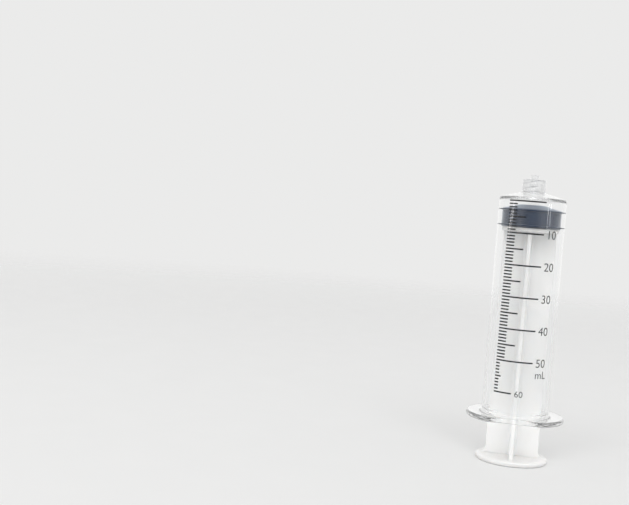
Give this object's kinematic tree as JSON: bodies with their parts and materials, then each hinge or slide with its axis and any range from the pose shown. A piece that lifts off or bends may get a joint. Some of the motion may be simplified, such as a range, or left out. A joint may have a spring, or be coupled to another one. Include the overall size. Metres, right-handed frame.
{
  "type": "luer lock syringe",
  "caption": "Large disposable syringe: clear graduated barrel with finger flange and luer lock tip, dark rubber stopper, and a cross-ribbed plunger rod with a round thumb press.",
  "frame": {"origin": "centre of the thumb press's flat face, on which the syringe stands", "axes": "+Z along the barrel's axis to the luer tip, -Y the side of the printed scale, X along the wings of the finger flange"},
  "size_m": [0.0465, 0.038, 0.1377],
  "materials": {
    "clear_polypropylene": "clear clarified polypropylene, glossy, faintly hazy, with a dark grey printed scale",
    "stopper_rubber": "dark slate blue-grey synthetic rubber, satin, with a thin film of silicone oil",
    "natural_polypropylene": "natural translucent polypropylene, semi-gloss",
    "scale_ink": "dark grey screen-printed ink of the scale, which the visual model has"
  },
  "bodies": {
    "barrel": {"barrel": "clear_polypropylene"},
    "stopper": {"stopper": "stopper_rubber"},
    "plunger_rod": {"plunger_rod": "natural_polypropylene"}
  },
  "joints": [
    {"name": "plunger_slide", "type": "slide", "parent": "stopper", "child": "barrel", "axis": [0, 0, 1], "range_m": [-0.00418, 0.0876]},
    {"name": "rod_twist", "type": "hinge", "parent": "plunger_rod", "child": "stopper", "pos_m": [0, 0, 0.1145], "axis": [0, 0, 1], "continuous": true}
  ]
}
